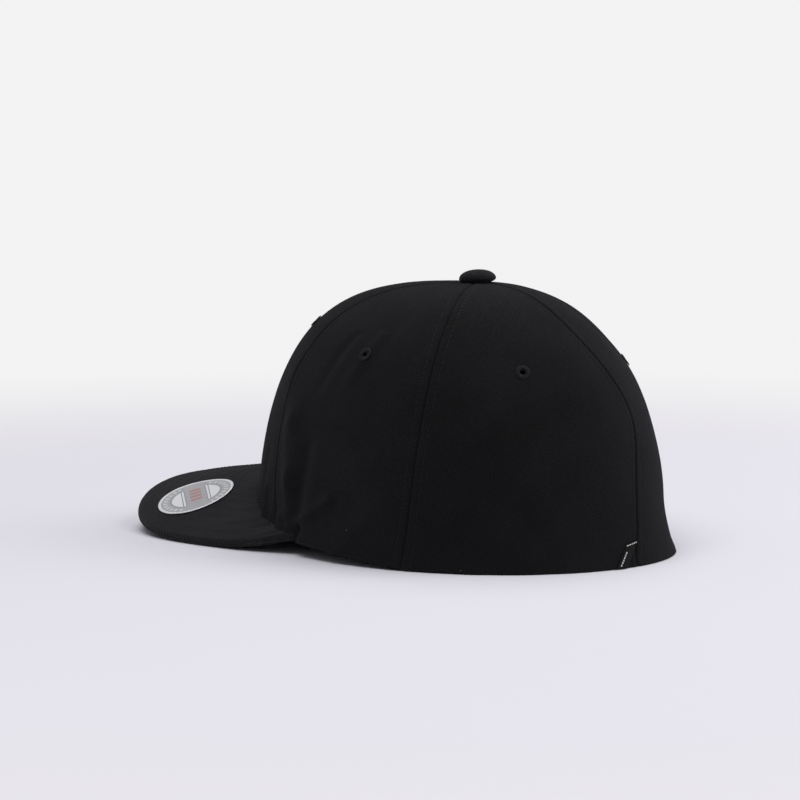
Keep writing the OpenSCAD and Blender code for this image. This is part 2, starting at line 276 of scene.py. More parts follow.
def grid_piece(columns, rows, place, flat=None, ring=False, holes=(), edge=0.25):
    """Closed sheet on a grid. place(u, v, inner) gives a point of its outer or its inner face, and
    flat(u, v) its place on the flat material, both in metres. edge rounds its rim."""
    bm = bmesh.new()
    bmesh.ops.create_grid(bm, x_segments=columns, y_segments=rows, size=0.5)
    across = bm.verts.layers.float.new("across")
    upward = bm.verts.layers.float.new("upward")
    for vert in bm.verts:
        vert[across] = vert.co.x + 0.5
        vert[upward] = vert.co.y + 0.5
    if ring:
        for vert in bm.verts:
            turn = 2 * math.pi * vert[across]
            vert.co = (math.sin(turn), math.cos(turn), vert[upward])
        bmesh.ops.remove_doubles(bm, verts=bm.verts[:], dist=1e-5)
    outer = {}
    for vert in bm.verts:
        spot = vert[across], vert[upward]
        outer[spot] = place(*spot, False)
        vert.co = outer[spot]
    for centre, axis, radius in holes:
        open_hole(bm, centre, axis, radius)
    walls = bmesh.ops.extrude_face_region(bm, geom=bm.faces[:], use_keep_orig=True)
    inner = {e for e in walls["geom"] if isinstance(e, bmesh.types.BMVert)}
    for vert in inner:
        spot = vert[across], vert[upward]
        vert.co += place(*spot, True) - outer[spot]
    bmesh.ops.recalc_face_normals(bm, faces=bm.faces[:])
    lay_flat(bm, flat or (lambda u, v: (u * columns * MM, v * rows * MM)), across, upward)
    rim = [e for e in bm.edges if (e.verts[0] in inner) == (e.verts[1] in inner)
           and any(len({v in inner for v in f.verts}) == 2 for f in e.link_faces)]
    if edge:
        bmesh.ops.bevel(bm, geom=rim, offset=edge * MM, offset_type="OFFSET", segments=2, profile=0.5,
                        affect="EDGES", material=-1, clamp_overlap=True)
    return bm


def lay_flat(bm, flat, across, upward):
    """Writes the UV map from each corner's place on the flat material."""
    uv = bm.loops.layers.uv.new("UVMap")
    known = {}
    for face in bm.faces:
        wraps = max(loop.vert[across] for loop in face.loops) > 0.75
        for loop in face.loops:
            u = loop.vert[across]
            spot = u + 1 if wraps and u < 0.25 else u, loop.vert[upward]
            if spot not in known:
                known[spot] = flat(*spot)
            loop[uv].uv = known[spot]


def piece(bm, name, body, slot, finish, *nodes):
    """Makes the mesh a piece of the object that stands for some CAD nodes."""
    mesh = bpy.data.meshes.new(name)
    bm.to_mesh(mesh)
    bm.free()
    mesh.shade_smooth()
    mesh.materials.append(finish)
    made = bpy.data.objects.new(name, mesh)
    bpy.context.scene.collection.objects.link(made)
    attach(made, body)
    if nodes:
        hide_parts(*nodes)
    return made


def add(tree, kind, inputs, **settings):
    """Adds a shader node. An input is a plain value or another node's output."""
    made = tree.nodes.new("ShaderNode" + kind)
    for name, value in settings.items():
        setattr(made, name, value)
    for socket, value in inputs.items():
        if isinstance(value, bpy.types.NodeSocket):
            tree.links.new(value, made.inputs[socket])
        else:
            made.inputs[socket].default_value = value
    return made


def maths(tree, operation, *values):
    return add(tree, "Math", dict(enumerate(values)), operation=operation).outputs[0]


def ramp(tree, value, *stops):
    """Colour ramp through (position, grey or colour) stops."""
    made = add(tree, "ValToRGB", {"Fac": value})
    elements = made.color_ramp.elements
    while len(elements) < len(stops):
        elements.new(0.5)
    for element, (position, colour) in zip(elements, stops):
        element.position = position
        colour = colour if isinstance(colour, tuple) else (colour,) * 3
        element.color = (*colour, 1)
    return made.outputs["Color"]


def stripes(tree, place, angle, pitch):
    """Wave from -1 to 1 across the UV map or the piece, with a pitch in millimetres."""
    a = math.radians(angle)
    turns = 2 * math.pi / (pitch * MM)
    across = (math.cos(a) * turns, math.sin(a) * turns, 0)
    along = add(tree, "VectorMath", {0: place, 1: across}, operation="DOT_PRODUCT")
    return maths(tree, "SINE", along.outputs["Value"])


def speckle(tree, place, grain, detail=2.0):
    """Noise from 0 to 1 with grains of a size in millimetres."""
    made = add(tree, "TexNoise", {"Vector": place, "Scale": 1 / (grain * MM), "Detail": detail})
    return made.outputs["Fac"]


def finish_with(name, **values):
    """New material with its shader set to plain values."""
    made = bpy.data.materials.new(name)
    made.use_nodes = True
    shader = made.node_tree.nodes["Principled BSDF"]
    for socket, value in values.items():
        shader.inputs[socket.replace("_", " ")].default_value = value
    return made, made.node_tree, shader


def relief(tree, shader, height, depth, strength=1.0):
    lumps = add(tree, "Bump", {"Height": height, "Distance": depth * MM, "Strength": strength})
    tree.links.new(lumps.outputs["Normal"], shader.inputs["Normal"])


def twill(name, dark, light, wale, fuzz):
    """Brushed wool twill: steep wales crossed by yarns, a short nap, worn tone and stray lint."""
    made, tree, shader = finish_with(
        name, Roughness=0.92, Specular_IOR_Level=0.18, Sheen_Weight=fuzz, Sheen_Roughness=0.42,
        Sheen_Tint=(0.78, 0.78, 0.9, 1))
    cloth = add(tree, "UVMap", {}).outputs["UV"]
    space = add(tree, "TexCoord", {}).outputs["Object"]
    wales = stripes(tree, cloth, -32, wale)
    yarns = stripes(tree, cloth, 58, wale * 0.62)
    nap = speckle(tree, space, 0.7, 3)
    blotches = speckle(tree, space, 26, 3)
    weave = maths(tree, "MULTIPLY_ADD", yarns, 0.3, wales)
    height = maths(tree, "MULTIPLY_ADD", nap, 1.6, weave)
    relief(tree, shader, height, 0.11, 0.9)
    tone = maths(tree, "MULTIPLY_ADD", height, 0.16, 0.3)
    tone = maths(tree, "MULTIPLY_ADD", maths(tree, "SUBTRACT", blotches, 0.5), 0.9, tone)
    black = ramp(tree, tone, (0.1, dark), (0.9, light))
    lint = add(tree, "TexVoronoi", {"Vector": space, "Scale": 62, "Randomness": 1})
    speck = maths(tree, "LESS_THAN", lint.outputs["Distance"], 0.011)
    both = add(tree, "Mix", {0: speck, 6: black, 7: (0.3, 0.3, 0.31, 1)}, data_type="RGBA")
    tree.links.new(both.outputs[2], shader.inputs["Base Color"])
    return made


crown_twill = twill("crown_twill", (0.0023, 0.0023, 0.0026), (0.0090, 0.0088, 0.0102), 0.95, 0.03)


def panel(i, name):
    """One gore of the crown, with its eyelet hole."""
    middle = [crown((seam(i, row / panel_rows) + seam(i + 1, row / panel_rows)) / 2,
                    row_slope((seam(i, 0) + seam(i + 1, 0)) / 2, row / panel_rows))
              for row in range(panel_rows + 1)]
    length = [0.0]
    for low, high in zip(middle, middle[1:]):
        length.append(length[-1] + (high - low).length)

    def place(u, v, inner):
        t, p, off_seam, _ = panel_spot(i, u, v)
        return crown(t, p, cloth_t if inner else seam_relief(off_seam))

    def flat(u, v):
        return panel_spot(i, u, v)[3] * MM, length[round(v * panel_rows)]

    axes, eye = out_of_cloth(*eyelet_spot(i))
    hole = (eye, axes.to_3x3() @ Vector((0, 0, 1)), seam_eye_r * MM)
    bm = grid_piece(panel_columns, panel_rows, place, flat, holes=[hole])
    return piece(bm, name + "_cloth", "cap", "black_twill", crown_twill, name)


panel_names = ["back_panel_right", "side_panel_right", "front_panel_right",
               "front_panel_left", "side_panel_left", "back_panel_left"]
for i, name in enumerate(panel_names):
    panel(i - 3, name)

# ---------------------------------------------------------------------------- Topstitching
# Two rows of black thread run beside every seam, through the cloth and the tape behind it. Each
# stitch is a short spindle of thread, half sunk in the line that it pulls into the cloth.

thread_d = 0.4
stitch_pitch = 3.0
stitch_share = 0.84


def thread_finish(name, colour):
    """Twisted polyester thread."""
    made, tree, shader = finish_with(name, Roughness=0.7, Specular_IOR_Level=0.2, Sheen_Weight=0.04)
    space = add(tree, "TexCoord", {}).outputs["Object"]
    twist = add(tree, "TexWave", {"Vector": space, "Scale": 900, "Distortion": 2.0},
                bands_direction="DIAGONAL")
    grain = speckle(tree, space, 0.3)
    height = maths(tree, "ADD", twist.outputs["Fac"], grain)
    relief(tree, shader, height, 0.05)
    shade = tuple(0.6 * c for c in colour)
    tree.links.new(ramp(tree, height, (0.3, shade), (1.0, colour)), shader.inputs["Base Color"])
    return made


black_thread = thread_finish("black_thread", (0.0085, 0.0085, 0.0095))
white_thread = thread_finish("white_thread", (0.72, 0.72, 0.72))


def sew(line, pitch=stitch_pitch, thread=thread_d):
    """Row of stitches along a line of (place, outward direction) in metres."""
    bm = bmesh.new()
    gone = 0.0
    due = 0.0
    for (here, out), (there, _) in zip(line, line[1:]):
        step = there - here
        while step.length > 0 and due < gone + step.length:
            spot = here + step * ((due - gone) / step.length)
            along = step.normalized()
            side = out.cross(along).normalized()
            half = (side * thread / 2 * MM, out * thread * 0.4 * MM, along * pitch * stitch_share / 2 * MM)
            axes = Matrix(half).transposed().to_4x4()
            axes.translation = spot
            bmesh.ops.create_uvsphere(bm, u_segments=6, v_segments=5, radius=1, matrix=axes)
            due += pitch * MM
        gone += step.length
    return bm


def seam_line(i, side, depth, low=0.0, stop_r=8.6):
    """Line beside seam i, on its left (1) or its right (-1), at a depth below the outer face."""
    line = []
    for step in range(240):
        v = mix(low, 1, step / 239)
        p = row_slope(seam(i, v), v)
        radius = radius_at(seam(i, v), p)
        if radius < stop_r:
            break
        t = seam(i, v) + side * math.degrees(math.atan(stitch_line / radius))
        spot = crown(t, p, depth)
        inward = -1 if depth > cloth_t else 1
        line.append((spot, inward * (spot - crown(t, p, depth + 1)).normalized()))
    return line


def gather(parts):
    """Joins several meshes in one."""
    whole = bmesh.new()
    for part in parts:
        holder = bpy.data.meshes.new("holder")
        part.to_mesh(holder)
        part.free()
        whole.from_mesh(holder)
        bpy.data.meshes.remove(holder)
    return whole


rows = [sew(seam_line(i, side, 0.1, 0.03)) for i in range(-2, 4) for side in (-1, 1)]
piece(gather(rows), "topstitching", "cap", "black_thread", black_thread)

# ---------------------------------------------------------------------------- Eyelets
# Six breathing holes worked round with black thread: a proud ring of close radial stitches on the
# cloth, and a sleeve of thread through it.

eyelet_d = 7
eyelet_hole_d = 2.7
eyelet_wraps = 34
eyelet_proud = 0.55


def eyelet_ring(axes, place, sleeve):
    """Ring spun from its cut outline, then ridged by its stitches."""
    bm = bmesh.new()
    inside = eyelet_hole_d / 2
    outside = eyelet_d / 2
    half = (outside - inside) / 2
    outline = [(inside, -sleeve), (inside + 0.5, -sleeve), (inside + 0.5, 0)]
    for step in range(9):
        a = math.pi * step / 8
        outline.append((inside + half * (1 + math.cos(a)), 0.05 + eyelet_proud * math.sin(a) ** 0.8))
    verts = [bm.verts.new((r * MM, 0, z * MM)) for r, z in outline]
    edges = [bm.edges.new(pair) for pair in zip(verts, verts[1:] + verts[:1])]
    bmesh.ops.spin(bm, geom=verts + edges, cent=(0, 0, 0), axis=(0, 0, 1), angle=2 * math.pi,
                   steps=eyelet_wraps * 4, use_merge=True)
    for vert in bm.verts:
        if vert.co.z > 0.1 * MM:
            turn = math.atan2(vert.co.y, vert.co.x)
            vert.co.z *= 1 + 0.16 * math.cos(turn * eyelet_wraps)
    bmesh.ops.recalc_face_normals(bm, faces=bm.faces[:])
    axes = axes.copy()
    axes.translation = place
    bmesh.ops.transform(bm, matrix=axes, verts=bm.verts[:])
    return bm


rings = []
for i in range(-3, 3):
    axes, spot = out_of_cloth(*eyelet_spot(i))
    rings.append(eyelet_ring(axes, spot, 2.3 if i in (-1, 0) else cloth_t))
piece(gather(rings), "eyelet_rings", "cap", "black_thread", black_thread, "eyelets")

# ---------------------------------------------------------------------------- Button
# A pressed steel dome covered with a disc of the crown's twill, whose edge is gathered in below it.
# A rivet through the crown holds it.

button_low, button_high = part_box("button_cover")
button_lean = 2.5
button_gathers = 22
button_sunk = 0.5
to_camera = Vector((0.773, 0.635, 0))
# The button's copy of the crown's twill is painted about twice as light: painted light for the brighter
# light on the button's top.
button_twill_painted_light = twill("button_twill_painted_light", (0.005, 0.005, 0.0055), (0.016, 0.016, 0.0176), 0.95, 0.09)


def button_outline(shrink):
    """Half outline from the top to the turned-in edge, drawn in by the cloth's thickness."""
    half_w = (button_high.x - button_low.x) / 2 / MM - shrink
    rise = (button_high.z - button_low.z) / MM
    outline = []
    for step in range(19):
        a = math.radians(90 - 167 * step / 18)
        tall = 0.64 * rise if a > 0 else 0.38 * rise
        outline.append((half_w * math.cos(a) ** 0.9, 0.32 * rise + (tall - shrink) * math.sin(a)))
    return outline


bm = bmesh.new()
outline = button_outline(0) + button_outline(0.8)[::-1]
verts = [bm.verts.new((max(0.0, r) * MM, 0, z * MM)) for r, z in outline]
edges = [bm.edges.new(pair) for pair in zip(verts, verts[1:])]
bmesh.ops.spin(bm, geom=verts + edges, cent=(0, 0, 0), axis=(0, 0, 1), angle=2 * math.pi, steps=88,
               use_merge=True)
bmesh.ops.remove_doubles(bm, verts=bm.verts[:], dist=1e-5)
uv = bm.loops.layers.uv.new("UVMap")
for face in bm.faces:
    for loop in face.loops:
        loop[uv].uv = loop.vert.co.xy
for vert in bm.verts:
    turn = math.atan2(vert.co.y, vert.co.x)
    low = ease(1 - vert.co.z / MM / 4.5)
    vert.co.xy *= 1 + 0.014 * low * math.cos(turn * button_gathers + math.sin(3 * turn))
bmesh.ops.recalc_face_normals(bm, faces=bm.faces[:])
lean = Matrix.Rotation(math.radians(button_lean), 4, to_camera)
seat = Vector((0, (button_low.y + button_high.y) / 2, button_low.z - button_sunk * MM))
bmesh.ops.transform(bm, matrix=Matrix.Translation(seat) @ lean, verts=bm.verts[:])
piece(bm, "button_cloth", "cap", "black_twill", button_twill_painted_light, "button_cover")


def steel(name):
    """Nickel-plated steel with fine turning marks and dull patches."""
    made, tree, shader = finish_with(name, Metallic=1.0, Roughness=0.32)
    space = add(tree, "TexCoord", {}).outputs["Object"]
    marks = add(tree, "TexWave", {"Vector": space, "Scale": 420, "Distortion": 1.2},
                wave_type="RINGS", rings_direction="Z")
    patches = speckle(tree, space, 1.6, 4)
    relief(tree, shader, maths(tree, "ADD", marks.outputs["Fac"], patches), 0.02, 0.4)
    rough = maths(tree, "MULTIPLY_ADD", patches, 0.25, 0.2)
    tree.links.new(rough, shader.inputs["Roughness"])
    tree.links.new(ramp(tree, patches, (0.3, (0.50, 0.49, 0.47)), (0.7, (0.68, 0.67, 0.65))),
                   shader.inputs["Base Color"])
    return made


rivet_steel = steel("rivet_steel")
for name in ("button_shell", "button_rivet"):
    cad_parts[name].material_slots[0].material = rivet_steel

# ---------------------------------------------------------------------------- Visor
# A curved plastic board between two covers of the same twill, sewn face to face along the front
# edge and turned. Rows of stitches parallel to that edge hold cover, board and cover together.

visor_w = 185.4
visor_reach = 168
visor_wide_y = 84.7
visor_square = 2.65
visor_arch = 17.5
visor_corner = 70
edge_end = 112
corner_rise = 0.6
visor_t = 3.6
cover_t = 0.8
roll = 2.0
edge_gap = 0.06
side_run = 120
row_pitch = 6.5
row_count = 8
row_depth = 0.08
slack_wave = 0.1
# Both visor covers take a copy of the crown's twill painted about two and a half times lighter: painted
# light for the brighter light that falls on the visor.
visor_twill_painted_light = twill("visor_twill_painted_light", (0.0058, 0.0058, 0.006), (0.021, 0.0205, 0.0215), 0.95, 0.09)


def visor_edge(k):
    """Front edge in millimetres for k from -1 to 1, past the widest line and in to the crown."""
    a = math.radians(edge_end * abs(k))
    back = max(0.0, edge_end * abs(k) - 90) / (edge_end - 90)
    side = math.copysign(visor_w / 2 * math.sin(a) ** (2 / visor_square), k)
    out = math.copysign(abs(math.cos(a)) ** (2 / visor_square), math.cos(a))
    z = visor_arch * max(0.0, math.cos(a)) ** 2.5 + corner_rise * hem_z(visor_corner) * back ** 2
    return Vector((side, -mix(visor_wide_y, visor_reach, out), z))


edge_samples = 800
outline_tree = KDTree(edge_samples + 1)
for step in range(edge_samples + 1):
    point = visor_edge(2 * step / edge_samples - 1)
    outline_tree.insert((point.x, point.y, 0), step)
outline_tree.balance()


def stitch_dent(x, y):
    """Depth of the lines that the visor's stitch rows pull in."""
    off_edge = outline_tree.find((x, y, 0))[2]
    row = min(row_count, max(1, round(off_edge / row_pitch)))
    return row_depth * bump(off_edge, row * row_pitch, 0.7)


@lru_cache(maxsize=None)
def visor_ends(k, lift):
    """Where a line of the visor leaves the crown, and where it ends at the edge."""
    t = k * visor_corner
    return crown(t, slope_at_z(t, hem_z(t) + lift), -0.15) / MM, visor_edge(k)


def visor_point(k, v, lift, inner, dented):
    """Point on a cover. lift is its height above the underside, and v runs from crown to edge."""
    if inner:
        k *= 1 - cover_t / side_run
    t = k * visor_corner
    root, tip = visor_ends(k, lift)
    length = (tip.xy - root.xy).length
    if inner:
        v *= 1 - cover_t / length
    off_rim = min((1 - v) * length, (1 - abs(k)) * side_run)
    into_roll = min(1.0, max(0.0, 1 - off_rim / min(roll, length / 3)))
    round_off = math.sqrt(1 - into_roll ** 2)
    middle = visor_t / 2 + math.copysign(edge_gap, lift - visor_t / 2)
    spot = Vector((mix(root.x, tip.x, v), mix(root.y, tip.y, v), mix(hem_z(t), tip.z, v)))
    dent = stitch_dent(spot.x, spot.y) if dented else 0
    wave = slack_wave * noise.noise(Vector((spot.x / 18, spot.y / 18, lift)))
    lift += math.copysign(wave - dent, lift - visor_t / 2)
    spot.z += mix(middle, lift, round_off)
    return spot * MM


def rail(v):
    """Spacing of the rows from the crown to the edge, close together where the edge rolls."""
    return 1 - (1 - v) ** 1.6 if v > 0 else 0.0


def visor_cover(face, inside, name, node):
    def place(u, v, inner):
        x = 2 * u - 1
        k = 1.5 * x - 0.5 * x ** 3
        return visor_point(k, rail(v), inside if inner else face, inner, not inner)

    def flat(u, v):
        return place(u, v, False).xy

    bm = grid_piece(220, 110, place, flat, edge=0)
    surface = BVHTree.FromBMesh(bm)
    piece(bm, name, "cap", "black_twill", visor_twill_painted_light, node)
    return surface


visor_top = visor_cover(visor_t, visor_t - cover_t, "visor_top_cloth", "visor_top_cover")
visor_under = visor_cover(0, cover_t, "visor_under_cloth", "visor_under_cover")


def visor_row(off_edge, surface, side):
    """Line parallel to the visor's edge, laid on one cover from above (1) or from below (-1)."""
    line = []
    for step in range(-240, 241):
        k = step / 240
        here = visor_edge(k)
        along = visor_edge(min(1, k + 0.002)) - visor_edge(max(-1, k - 0.002))
        inward = Vector((-along.y, along.x, 0)).normalized()
        spot = (here.xy + inward.xy * off_edge) * MM
        back = outline_tree.find((spot.x / MM, spot.y / MM, 0))[2]
        if back < off_edge - 0.2:
            continue
        found, normal, _, _ = surface.ray_cast(Vector((*spot, side)), Vector((0, 0, -side)))
        if found and normal.z * side > 0.2:
            line.append((found + normal * 0.02 * MM, normal))
    return line


rows = [sew(visor_row(row * row_pitch, surface, side)) for row in range(1, row_count + 1)
        for surface, side in ((visor_top, 1), (visor_under, -1))]
piece(gather(rows), "visor_stitching", "cap", "black_thread", black_thread)


def moulded(name, dark, light, grain, roughness, depth=0.03):
    """Moulded plastic: a fine grain, faint flow marks and a few dull rubs."""
    made, tree, shader = finish_with(name, Roughness=roughness, Specular_IOR_Level=0.4)
    space = add(tree, "TexCoord", {}).outputs["Object"]
    grains = add(tree, "TexVoronoi", {"Vector": space, "Scale": 1 / (grain * MM)}).outputs["Distance"]
    flow = speckle(tree, space, 19, 3)
    relief(tree, shader, maths(tree, "ADD", grains, speckle(tree, space, grain * 3)), depth)
    rough = maths(tree, "MULTIPLY_ADD", flow, 0.3, roughness - 0.15)
    tree.links.new(rough, shader.inputs["Roughness"])
    tree.links.new(ramp(tree, flow, (0.25, dark), (0.75, light)), shader.inputs["Base Color"])
    return made


def board_place(u, v, inner):
    k = board_span * (2 * u - 1)
    lift = cover_t + 0.15 + (0 if inner else board_t)
    root, tip = visor_ends(k, lift)
    v *= 1 - board_inset / (tip.xy - root.xy).length
    spot = Vector((mix(root.x, tip.x, v), mix(root.y, tip.y, v),
                   mix(hem_z(k * visor_corner), tip.z, v) + lift))
    return spot * MM


board_t = 1.7
board_span = 0.93
board_inset = 3.2
board_white = moulded("board_white", (0.55, 0.55, 0.53), (0.70, 0.70, 0.68), 0.8, 0.5)
bm = grid_piece(120, 40, board_place, edge=0.3)
piece(bm, "visor_board_plastic", "cap", "white_plastic", board_white, "visor_board")

# ---------------------------------------------------------------------------- Size sticker
# A round sticker of silver film on the visor. It has a white border, a ring of plain ticks, a pale
# middle crossed by a band, and plain bars on the band.

sticker_low, sticker_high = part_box("size_sticker")
sticker_shift = Vector((3.5, 3.0, 0))
sticker_at = (sticker_low + sticker_high) / 2 + sticker_shift * MM
sticker_r = (sticker_high.x - sticker_low.x) / 2
band_angle = 48
film_t = 0.3


def sticker_print():
    """Silver film with its print drawn from the distance to the middle and along the band."""
    made, tree, shader = finish_with("silver_film", Metallic=0.12, Roughness=0.36,
                                     Specular_IOR_Level=0.5)
    space = add(tree, "TexCoord", {}).outputs["Object"]
    centred = add(tree, "VectorMath", {0: space, 1: tuple(sticker_at)}, operation="SUBTRACT")
    turned = add(tree, "VectorRotate", {"Vector": centred.outputs[0],
                                        "Angle": -math.radians(band_angle)}, rotation_type="Z_AXIS")
    xyz = add(tree, "SeparateXYZ", {0: turned.outputs[0]})
    along, across = xyz.outputs["X"], xyz.outputs["Y"]
    square = maths(tree, "MULTIPLY", along, along)
    square = maths(tree, "MULTIPLY_ADD", across, across, square)
    out = maths(tree, "DIVIDE", maths(tree, "SQRT", square), sticker_r)
    off_band = maths(tree, "DIVIDE", maths(tree, "ABSOLUTE", across), sticker_r)

    def between(value, low, high):
        return maths(tree, "MULTIPLY", maths(tree, "GREATER_THAN", value, low),
                     maths(tree, "LESS_THAN", value, high))

    def over(base, mask, colour):
        layer = add(tree, "Mix", {0: mask, 6: base, 7: (*colour, 1)}, data_type="RGBA")
        return layer.outputs[2]

    grey = (0.47, 0.47, 0.49)
    pale = (0.93, 0.93, 0.94)
    line = (0.30, 0.30, 0.31)
    turn = maths(tree, "ARCTAN2", across, along)
    ticks = maths(tree, "GREATER_THAN", maths(tree, "SINE", maths(tree, "MULTIPLY", turn, 30)), 0.35)
    ticks = maths(tree, "MULTIPLY", ticks, between(out, 0.755, 0.865))
    ticks = maths(tree, "MULTIPLY", ticks, maths(tree, "GREATER_THAN", off_band, 0.36))
    bars = maths(tree, "GREATER_THAN",
                 maths(tree, "SINE", maths(tree, "MULTIPLY", along, 2 * math.pi / (4.3 * MM))), -0.2)
    bars = maths(tree, "MULTIPLY", bars, maths(tree, "LESS_THAN", off_band, 0.15))
    bars = maths(tree, "MULTIPLY", bars,
                 maths(tree, "LESS_THAN", maths(tree, "ABSOLUTE", along), 8.7 * MM))
    colour = over((*grey, 1), maths(tree, "LESS_THAN", out, 0.66), pale)
    colour = over(colour, between(out, 0.64, 0.68), line)
    colour = over(colour, maths(tree, "LESS_THAN", off_band, 0.27), grey)
    within = maths(tree, "LESS_THAN", out, 0.66)
    for low, high in ((0.27, 0.295), (0.345, 0.37)):
        colour = over(colour, maths(tree, "MULTIPLY", within, between(off_band, low, high)), line)
    colour = over(colour, ticks, (0.82, 0.82, 0.83))
    colour = over(colour, bars, (0.50, 0.22, 0.19))
    colour = over(colour, maths(tree, "GREATER_THAN", out, 0.93), (0.97, 0.97, 0.98))
    wear = speckle(tree, space, 3.2, 4)
    colour = over(colour, maths(tree, "MULTIPLY", wear, 0.12), (0.9, 0.9, 0.92))
    tree.links.new(colour, shader.inputs["Base Color"])
    tree.links.new(maths(tree, "MULTIPLY_ADD", wear, 0.25, 0.24), shader.inputs["Roughness"])
    relief(tree, shader, wear, 0.05, 0.35)
    return made


bm = bmesh.new()
rim = bm.verts.new((0, 0, 0))
spoke = [rim]
for step in range(1, 15):
    spoke.append(bm.verts.new((sticker_r * step / 14, 0, 0)))
edges = [bm.edges.new(pair) for pair in zip(spoke, spoke[1:])]
bmesh.ops.spin(bm, geom=spoke + edges, cent=(0, 0, 0), axis=(0, 0, 1), angle=2 * math.pi, steps=96,
               use_merge=True)
bmesh.ops.remove_doubles(bm, verts=bm.verts[:], dist=1e-6)
for vert in bm.verts:
    edge_curl = 0.35 * MM * (vert.co.length / sticker_r) ** 12
    above = Vector((sticker_at.x + vert.co.x, sticker_at.y + vert.co.y, 1))
    found = visor_top.ray_cast(above, Vector((0, 0, -1)))[0]
    vert.co = found + Vector((0, 0, 0.22 * MM + edge_curl))
for vert in bm.verts:
    vert.normal_update()
bmesh.ops.smooth_vert(bm, verts=[v for v in bm.verts if not v.is_boundary], factor=0.5,
                      use_axis_z=True)
top = bmesh.ops.extrude_face_region(bm, geom=bm.faces[:], use_keep_orig=True)
raised = [e for e in top["geom"] if isinstance(e, bmesh.types.BMVert)]
bmesh.ops.translate(bm, vec=(0, 0, film_t * MM), verts=raised)
bmesh.ops.recalc_face_normals(bm, faces=bm.faces[:])
piece(bm, "round_sticker", "cap", "silver_film", sticker_print(), "size_sticker")

# ---------------------------------------------------------------------------- Loop label
# A short black ribbon folded in two, sewn on just above the back hem and leaning to the left. White
# thread runs along its top and down its free side.

loop_w = 7.4
loop_h = 11.8
loop_lean = 12
loop_top_off = 7
loop_bow = 0.6
ribbon_t = 0.75


def ribbon(name, colour, pitch, roughness):
    """Close-woven ribbon with fine cross ribs and a satin face."""
    made, tree, shader = finish_with(name, Roughness=roughness, Specular_IOR_Level=0.15,
                                     Sheen_Weight=0.03)
    cloth = add(tree, "UVMap", {}).outputs["UV"]
    space = add(tree, "TexCoord", {}).outputs["Object"]
    ribs = stripes(tree, cloth, 90, pitch)
    warp = stripes(tree, cloth, 0, pitch * 0.7)
    height = maths(tree, "MULTIPLY_ADD", warp, 0.4, ribs)
    height = maths(tree, "MULTIPLY_ADD", speckle(tree, space, 0.6), 0.8, height)
    relief(tree, shader, height, 0.07)
    tone = maths(tree, "MULTIPLY_ADD", height, 0.2, 0.3)
    shade = tuple(0.65 * c for c in colour)
    tree.links.new(ramp(tree, tone, (0.0, shade), (1.0, colour)), shader.inputs["Base Color"])
    return made


black_ribbon = ribbon("black_ribbon", (0.0045, 0.0045, 0.005), 0.6, 0.7)
loop_radius = crown_l / 2 + back_flare


def loop_spot(u, v):
    """Angle and slope on the ribbon, from its left side to its right and from foot to top."""
    off = loop_top_off + loop_lean * (1 - v) + loop_w * (1 - u) - 0.35 * loop_w
    bow = loop_bow * math.sin(math.pi * v)
    t = 180 - math.degrees((off + bow) / loop_radius)
    return t, slope_at_z(180, max(0.0, -0.6 + loop_h * v - 1.2 * (1 - u)))


def loop_place(u, v, inner):
    t, p = loop_spot(u, v)
    lift = 0.15 + 0.5 * math.sin(math.pi * min(1, 1.15 * (1 - v))) * ease(1.2 * (1 - v))
    fold = 0.35 * ribbon_t * (2 * u - 1) ** 4
    return crown(t, p, -lift if inner else -lift - ribbon_t + fold)


def loop_flat(u, v):
    return u * loop_w * MM, v * loop_h * MM


bm = grid_piece(14, 30, loop_place, loop_flat, edge=0.15)
piece(bm, "loop_ribbon", "cap", "black_thread", black_ribbon, "loop_label")


def loop_line(spots):
    """Line of (place, outward direction) just proud of the ribbon."""
    line = []
    for u, v in spots:
        spot = loop_place(u, v, False)
        line.append((spot, (spot - loop_place(u, v, True)).normalized()))
    return line


along_top = sew(loop_line([(0.04 + 0.92 * k / 20, 0.965) for k in range(21)]), 1.5, 0.62)
down_side = sew(loop_line([(0.27, 0.68 - 0.45 * k / 20) for k in range(21)]), 1.5, 0.8)
piece(gather([along_top, down_side]), "label_stitching", "cap", "white_label", white_thread)

# ---------------------------------------------------------------------------- Linings and tapes
# Stiff fused mesh backs the two front panels, and black tapes cover the seams inside. The middle
# tape runs from the front over the top to the back, round the rivet's shank.

buckram_in = cloth_t + 0.15
buckram_t = 0.75
tape_w = 14
tape_t = 0.5
tape_start = 0.13
tape_end = 0.84
front_tape_in = buckram_in + buckram_t + 0.4
back_tape_in = cloth_t + 0.4
lining_start = 0.2
lining_end = 0.95


def open_mesh(name, colour, pitch, thread):
    """Coarse plain mesh: round threads both ways, dark where the holes are."""
    made, tree, shader = finish_with(name, Roughness=0.8, Specular_IOR_Level=0.3)
    cloth = add(tree, "UVMap", {}).outputs["UV"]
    warp = maths(tree, "ABSOLUTE", stripes(tree, cloth, 0, pitch))
    weft = maths(tree, "ABSOLUTE", stripes(tree, cloth, 90, pitch))
    net = maths(tree, "MAXIMUM", warp, weft)
    space = add(tree, "TexCoord", {}).outputs["Object"]
    height = maths(tree, "MULTIPLY_ADD", speckle(tree, space, 0.5), 0.3, net)
    relief(tree, shader, height, thread)
    shade = tuple(0.25 * c for c in colour)
    tree.links.new(ramp(tree, height, (0.55, shade), (0.95, colour)), shader.inputs["Base Color"])
    return made


buckram_mesh = open_mesh("buckram_mesh", (0.050, 0.050, 0.052), 2.2, 0.25)
seam_ribbon = ribbon("seam_ribbon", (0.026, 0.026, 0.028), 0.8, 0.8)


